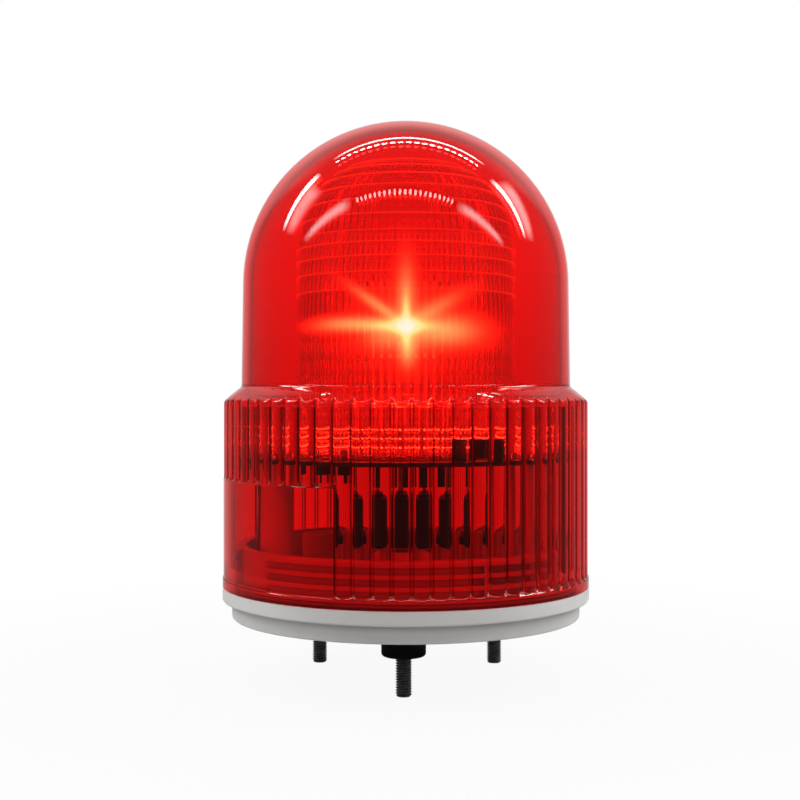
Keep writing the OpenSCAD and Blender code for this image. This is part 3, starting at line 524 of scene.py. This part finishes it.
def makeInnerLens(s):
    lowR = s["r"] - s["step"]
    inR = lowR - s["wall"]
    topZ = s["lampZ"] + ringEdge(s, s["above"])
    crown = (lowR - s["crownR"], topZ)
    rows = [(s["r"] + s["flangeW"], s["deckZ"]), (s["r"] + s["flangeW"], s["deckZ"] + s["flangeT"]),
            (lowR, s["deckZ"] + s["flangeT"])]
    # each ring tapers by one step; a short stretch at its thick edge is kept apart for the painted glow
    edgeRows = []
    for i in range(s["below"], 0, -1):
        low = max(s["lampZ"] - ringEdge(s, i), s["deckZ"] + s["flangeT"] + s["flangeGap"])
        high = s["lampZ"] - ringEdge(s, i - 1)
        lowest = i > s["dashed"]
        edgeRows.append((len(rows) + (2 if lowest else 1), s["lowGlow"] if lowest else s["dashGlow"], True))
        rows += [(lowR, low), (s["r"] - s["step"] * s["edgeH"] / (high - low), high - s["edgeH"]), (s["r"], high)]
    rows += [(s["r"] - s["step"] * t ** 2, s["lampZ"] + t * s["midH"]) for t in np.linspace(-1, 1, s["midRows"])]
    middle = range(len(rows) - s["midRows"] + 1, len(rows) - 1)
    for i in range(s["above"]):
        low, high = s["lampZ"] + ringEdge(s, i), s["lampZ"] + ringEdge(s, i + 1)
        edgeRows += [(len(rows), s["highGlow"], False), (len(rows) + 1, s["dashGlow"], True)]
        rows += [(s["r"], low), (s["r"] - s["step"] * s["edgeH"] / (high - low), low + s["edgeH"]), (lowR, high)]
    crownTurn = math.radians(s["crownTurn"] / s["crownRings"])
    edgeTurn = s["edgeH"] / s["crownR"]
    for i in range(s["crownRings"]):
        foot, head = i * crownTurn, (i + 1) * crownTurn
        nearR = s["crownR"] - s["crownStep"] * edgeTurn / crownTurn
        edgeRows.append((len(rows), s["highGlow"], False))
        rows += [(crown[0] + r * math.cos(a), crown[1] + r * math.sin(a))
                 for r, a in ((s["crownR"], foot), (nearR, foot + edgeTurn), (s["crownR"] - s["crownStep"], head))]
    edgeRows.append((len(rows), s["highGlow"], False))
    rows.append((crown[0] + s["crownR"] * math.cos(head), crown[1] + s["crownR"] * math.sin(head)))
    ringed = len(rows)
    rows += [(crown[0] + s["crownR"] * math.cos(a), crown[1] + s["crownR"] * math.sin(a))
             for a in np.radians(np.linspace(s["capTurn"], 90, s["capRows"]))]
    outerRows = len(rows)
    # inside: each flute bulges inwards by one minus the square of its place across, and fades up the crown
    columns = s["flutes"] * s["fluteSteps"]
    angles = np.arange(columns) * 2 * math.pi / columns
    across = (np.arange(columns) % s["fluteSteps"]) / s["fluteSteps"] - 0.5
    bulge = s["fluteDepth"] * (1 - 4 * across ** 2)
    inCrownR = s["crownR"] - s["wall"]
    inside = [(inR - bulge, s["deckZ"])]
    inside += [(inR - inCrownR + inCrownR * math.cos(a) - bulge * math.cos(a), topZ + inCrownR * math.sin(a))
               for a in np.radians(np.linspace(0, 90, s["insideRows"]))]
    innerRows = len(inside)
    points = np.stack([ringPoints(angles, r, z) for r, z in rows + inside])
    start = outerRows * columns
    poles = np.array([[0, 0, rows[-1][1]], [0, 0, inside[-1][1]]])
    allPoints = np.concatenate((points.reshape(-1, 3), poles))
    outerPole, innerPole = len(allPoints) - 2, len(allPoints) - 1
    first = np.arange(columns)
    after = (first + 1) % columns
    rim = np.stack((first, start + first, start + after, after), axis=-1)
    faces = [ringQuads(outerRows, columns), poleFan(outerRows - 1, columns, outerPole),
             ringQuads(innerRows, columns, start)[:, ::-1],
             poleFan(innerRows - 1, columns, innerPole, start, upward=False), rim]
    creases = [rowPairs(r, columns) for r in range(ringed) if r not in middle]
    creases += [rowPairs(0, columns, start)]
    creases += [columnPairs(range(0, columns, s["fluteSteps"]), range(innerRows - 2), columns, start)]
    glow = np.zeros((outerRows + innerRows, columns))
    # painted highlights: the ring edges get painted glow as if the flutes behind threw the lamp's light on them:
    # below the lamp as rows of dots; the inner flute cusps get a faint painted glow
    dots = np.where(np.arange(columns) % s["dotColumns"] == 0, 1, 0)
    for row, level, dotted in edgeRows:
        glow[row] = level * dots if dotted else level
    glow[outerRows:-s["cuspStop"], ::s["fluteSteps"]] = s["cuspGlow"]
    piece = makePiece("inner_lens_drum", allPoints, faces, creases, "base", ("inner_lens",),
                      redPrismLens)
    attribute = piece.data.attributes.new("paintedEdgeGlow", "FLOAT", "POINT")
    attribute.data.foreach_set("value", np.concatenate((glow.ravel(), (0, 0))))
    return piece


makeInnerLens(drum)
print("inner lens made")


# studs: rolled thread under the feet, plain shank and hexagon head above

stud = {"circleR": 42 * mm, "count": 3, "r": 3 * mm, "pitch": 1 * mm, "depth": 0.61 * mm, "tipZ": -15 * mm,
        "chamfer": 0.6 * mm, "shankR": 2.7 * mm, "headZ": 35 * mm, "headH": 4 * mm, "flats": 10 * mm, "columns": 36,
        "rowsPerTurn": 10, "toothSlope": 1.35, "toothFoot": 0.12, "bevel": 0.35 * mm}


def makeStuds(s):
    # thread: radius is a rounded zigzag of height minus turn, so its crests climb one pitch each turn
    angles = np.arange(s["columns"]) * 2 * math.pi / s["columns"]
    heights = np.linspace(s["tipZ"], 0, int(-s["tipZ"] / s["pitch"] * s["rowsPerTurn"]) + 1)[:, None]
    phase = (heights / s["pitch"] - angles / (2 * math.pi)) % 1
    tooth = np.clip(s["toothSlope"] * (1 - np.abs(2 * phase - 1)) - s["toothFoot"], 0, 1)
    radii = s["r"] - s["depth"] * (1 - tooth)
    radii = np.minimum(radii, s["r"] - s["chamfer"] + (heights - s["tipZ"]))
    thread = ringPoints(angles, radii, heights)
    corner = s["flats"] / 2 / np.cos((angles + math.pi / 6) % (math.pi / 3) - math.pi / 6)
    top, bevel = s["headZ"] + s["headH"], s["bevel"]
    upper = [(s["shankR"], 0), (s["shankR"], s["headZ"]), (corner, s["headZ"]), (corner, top - bevel),
             (corner - bevel, top)]
    points = np.concatenate((thread, np.stack([ringPoints(angles, r, z) for r, z in upper])))
    rowCount, columns = len(points), s["columns"]
    one = np.concatenate((points.reshape(-1, 3), [[0, 0, s["tipZ"]], [0, 0, top]]))
    faces = [ringQuads(rowCount, columns), poleFan(0, columns, len(one) - 2, upward=False),
             poleFan(rowCount - 1, columns, len(one) - 1)]
    creases = [rowPairs(r, columns) for r in (0, *range(rowCount - 6, rowCount))]
    flats = np.flatnonzero(np.abs(np.cos(6 * angles) + 1) < 1e-6)
    if len(flats):
        creases.append(columnPairs(flats, range(rowCount - 3, rowCount - 1), columns))
    turns = np.arange(s["count"]) * 2 * math.pi / s["count"]
    places = ringPoints(turns, s["circleR"], 0.0)
    allPoints = (one[None] + places[:, None]).reshape(-1, 3)
    shift = np.arange(s["count"]) * len(one)
    allFaces = [(f[None] + shift[:, None, None]).reshape(-1, f.shape[1]) for f in faces]
    allCreases = [(np.concatenate(creases)[None] + shift[:, None, None]).reshape(-1, 2)]
    return makePiece("threaded_studs", allPoints, allFaces, allCreases, "base", ("mounting_studs",),
                     finishOf["black_steel"])


makeStuds(stud)
print("studs made")


# studio: pale floor that fades to white, a white backdrop behind, darker sides, and strips of light

studio = {"floorZ": -15 * mm, "floorR": 0.37, "floorColumns": 96, "fade": (0.10, 0.34),
          "floorColour": (0.40, 0.40, 0.40), "floorWhite": 0.93, "floorRough": 0.7, "floorShine": 0.1,
          "seenLevels": ((0.0, 0.06), (0.5, 0.08), (0.75, 0.09), (0.83, 0.18), (0.90, 0.36), (0.945, 0.76),
                         (1.0, 0.87)),
          "shineLevels": ((0.0, 0.06), (0.5, 0.10), (0.85, 0.15), (0.95, 0.30), (1.0, 0.85)),
          "lightLevels": ((0.0, 0.02), (0.5, 1.36), (1.0, 1.1)),
          "insideLevels": ((0.0, 0.0), (0.5, 0.25), (0.62, 2.0), (1.0, 3.0))}


def levelsAlong(tree, levels, axis="Y"):
    # brightness by how far a direction points along an axis: 0 straight to the front or down, 1 to the back or up
    place = addNode(tree, "ShaderNodeTexCoord")
    axes = addNode(tree, "ShaderNodeSeparateXYZ")
    ramp = addNode(tree, "ShaderNodeValToRGB")
    tree.links.new(place.outputs["Generated"], axes.inputs[0])
    tree.links.new(spread(tree, axes.outputs[axis], 0, 1, -1, 1), ramp.inputs["Fac"])
    stops = ramp.color_ramp.elements
    while len(stops) < len(levels):
        stops.new(0.5)
    for stop, (position, level) in zip(stops, levels):
        stop.position, stop.color = position, (level, level, level, 1)
    return ramp.outputs["Color"]


def makeStudio(s):
    columns = s["floorColumns"]
    rim = ringPoints(np.arange(columns) * 2 * math.pi / columns, s["floorR"], s["floorZ"])
    mesh = bpy.data.meshes.new("studioFloor")
    mesh.from_pydata(rim.tolist(), [], [list(range(columns))])
    floor = bpy.data.objects.new("studioFloor", mesh)
    scene.collection.objects.link(floor)
    floor.visible_glossy = False
    material, tree, shader = startMaterial("paleFloor")
    shader.inputs["Base Color"].default_value = (*s["floorColour"], 1)
    shader.inputs["Roughness"].default_value = s["floorRough"]
    shader.inputs["Specular IOR Level"].default_value = s["floorShine"]
    place = addNode(tree, "ShaderNodeTexCoord")
    flat = addNode(tree, "ShaderNodeVectorMath", operation="MULTIPLY")
    flat.inputs[1].default_value = (1, 1, 0)
    far = addNode(tree, "ShaderNodeVectorMath", operation="LENGTH")
    ramp = addNode(tree, "ShaderNodeMapRange", {"From Min": s["fade"][0], "From Max": s["fade"][1],
                                                "To Min": s["floorWhite"]}, interpolation_type="SMOOTHERSTEP")
    path = addNode(tree, "ShaderNodeLightPath")
    glow = addNode(tree, "ShaderNodeEmission", {"Color": (1, 1, 1, 1), "Strength": 1.0})
    mix = addNode(tree, "ShaderNodeMixShader")
    tree.links.new(place.outputs["Object"], flat.inputs[0])
    tree.links.new(flat.outputs["Vector"], far.inputs[0])
    tree.links.new(far.outputs["Value"], ramp.inputs["Value"])
    white = calculate(tree, "MULTIPLY", ramp.outputs["Result"], path.outputs["Is Camera Ray"])
    tree.links.new(white, mix.inputs["Fac"])
    tree.links.new(shader.outputs[0], mix.inputs[1])
    tree.links.new(glow.outputs[0], mix.inputs[2])
    tree.links.new(mix.outputs[0], tree.nodes["Material Output"].inputs["Surface"])
    mesh.materials.append(material)

    # the camera sees white, clear and shiny surfaces see the backdrop, all else is lit softly
    world = bpy.data.worlds.new("studioSurround")
    scene.world = world
    world.use_nodes = True
    tree = world.node_tree
    tree.nodes.clear()
    path = addNode(tree, "ShaderNodeLightPath").outputs
    direct = calculate(tree, "LESS_THAN", path["Diffuse Depth"], 0.5)
    bounced = calculate(tree, "SUBTRACT", 1.0, direct)
    layers = ((s["insideLevels"], "Z", calculate(tree, "MULTIPLY", path["Is Transmission Ray"], bounced)),
              (s["shineLevels"], "Y", calculate(tree, "MULTIPLY", path["Is Glossy Ray"], direct)),
              (s["seenLevels"], "Y", calculate(tree, "MULTIPLY", path["Is Transmission Ray"], direct)),
              (((0, 1.0), (1, 1.0)), "Y", path["Is Camera Ray"]))
    lit = addNode(tree, "ShaderNodeBackground")
    tree.links.new(levelsAlong(tree, s["lightLevels"]), lit.inputs["Color"])
    for levels, axis, share in layers:
        seen = addNode(tree, "ShaderNodeBackground")
        mix = addNode(tree, "ShaderNodeMixShader")
        tree.links.new(levelsAlong(tree, levels, axis), seen.inputs["Color"])
        tree.links.new(share, mix.inputs["Fac"])
        tree.links.new(lit.outputs[0], mix.inputs[1])
        tree.links.new(seen.outputs[0], mix.inputs[2])
        lit = mix
    tree.links.new(lit.outputs[0], addNode(tree, "ShaderNodeOutputWorld").inputs["Surface"])


makeStudio(studio)

# each strip: ends, half width, brightness; a count makes a row of lamps, each bar times as long as it is wide;
# core sharpens its edges, tail sets how soon it fades towards its far end
strips = {"ceilingDots": {"from": (-0.248, 0.118, 0.60), "to": (0.262, 0.108, 0.60), "half": 0.009, "level": 26,
                          "count": 21, "bar": 1.0},
          "ceilingTube": {"from": (-0.26, 0.168, 0.60), "to": (0.29, 0.168, 0.60), "half": 0.014, "level": 14},
          "leftTube": {"from": (-0.345, 0.128, 0.60), "to": (-1.00, 0.172, 0.60), "half": 0.055, "level": 24,
                       "core": 2.5, "tail": 1.3},
          "rightTube": {"from": (0.36, 0.085, 0.60), "to": (1.15, 0.112, 0.60), "half": 0.055, "level": 24,
                        "core": 2.5, "tail": 1.3},
          "leftPanel": {"from": (-0.40, 0.03, 0.60), "to": (-1.05, 0.03, 0.60), "half": 0.20, "level": 5,
                        "tail": 1.3},
          "rightPanel": {"from": (0.40, 0.17, 0.60), "to": (1.25, 0.24, 0.60), "half": 0.22, "level": 5,
                         "tail": 1.3},
          "backPanel": {"from": (-1.0, 0.80, 0.85), "to": (1.0, 0.80, 0.85), "half": 0.60, "level": 0.4,
                        "shineOnly": True},
          "frontDots": {"from": (-0.268, -0.288, 0.60), "to": (0.272, -0.298, 0.60), "half": 0.0075, "level": 11,
                        "count": 21, "bar": 3.0},
          "frontLeft": {"from": (-0.31, -0.284, 0.60), "to": (-1.10, -0.290, 0.60), "half": 0.11, "level": 8,
                        "tail": 1.3},
          "frontRight": {"from": (0.31, -0.312, 0.60), "to": (1.22, -0.370, 0.60), "half": 0.11, "level": 8,
                         "tail": 1.3}}
stripMesh = {"aim": (0, 0, 0.14), "discPoints": 12, "columns": 13, "rows": 33, "endFade": 5}


def makeStrip(name, s):
    # a row of small round lamps, or one flat panel on a grid, turned towards the dome
    start, end = np.array(s["from"]), np.array(s["to"])
    middle, grid = (start + end) / 2, stripMesh
    facing = np.array(grid["aim"]) - middle
    along = (end - start) / np.linalg.norm(end - start)
    across = np.cross(along, facing / np.linalg.norm(facing))
    if "count" in s:
        sides = grid["discPoints"]
        turn = np.arange(sides) * 2 * math.pi / sides
        middles = np.linspace(start, end, s["count"])
        disc = s["half"] * (np.cos(turn)[:, None] * along + s["bar"] * np.sin(turn)[:, None] * across)
        points = (middles[:, None] + disc[None]).reshape(-1, 3)
        faces = np.arange(s["count"] * sides).reshape(-1, sides)
        fade = np.ones(len(points))
    else:
        # brightness falls from the middle line to the edges as a squared cosine, and towards the ends
        columns, rows, quick = grid["columns"], grid["rows"], grid["endFade"]
        u, v = np.meshgrid(np.linspace(-1, 1, columns), np.linspace(-1, 1, rows))
        points = (middle + u[..., None] * s["half"] * across + v[..., None] * (end - start) / 2).reshape(-1, 3)
        ends = np.clip((1 + v) * quick, 0, 1) * np.clip((1 - v) * s.get("tail", quick), 0, 1)
        fade = (np.clip(s.get("core", 1) * np.cos(u * math.pi / 2) ** 2, 0, 1) * ends).ravel()
        cell = np.arange((rows - 1) * columns).reshape(-1, columns)[:, :-1].reshape(-1, 1)
        faces = cell + np.array([0, 1, columns + 1, columns])
    mesh = bpy.data.meshes.new(name)
    mesh.from_pydata(points.tolist(), [], faces.tolist())
    mesh.attributes.new("fade", "FLOAT", "POINT").data.foreach_set("value", fade)
    lamp = bpy.data.objects.new(name, mesh)
    scene.collection.objects.link(lamp)
    lamp.visible_camera = False
    if s.get("shineOnly"):
        lamp.visible_diffuse = lamp.visible_transmission = lamp.visible_shadow = False
    material = bpy.data.materials.new(name)
    material.use_nodes = True
    tree = material.node_tree
    tree.nodes.clear()
    glow = addNode(tree, "ShaderNodeEmission", {"Color": (1, 0.98, 0.95, 1)})
    share = addNode(tree, "ShaderNodeAttribute", attribute_name="fade").outputs["Fac"]
    tree.links.new(calculate(tree, "MULTIPLY", share, s["level"]), glow.inputs["Strength"])
    # light is added to what lies behind the strip
    both = addNode(tree, "ShaderNodeAddShader")
    tree.links.new(glow.outputs[0], both.inputs[0])
    tree.links.new(addNode(tree, "ShaderNodeBsdfTransparent").outputs[0], both.inputs[1])
    tree.links.new(both.outputs[0], addNode(tree, "ShaderNodeOutputMaterial").inputs["Surface"])
    mesh.materials.append(material)


for name, settings in strips.items():
    makeStrip(name, settings)
print("studio lit")
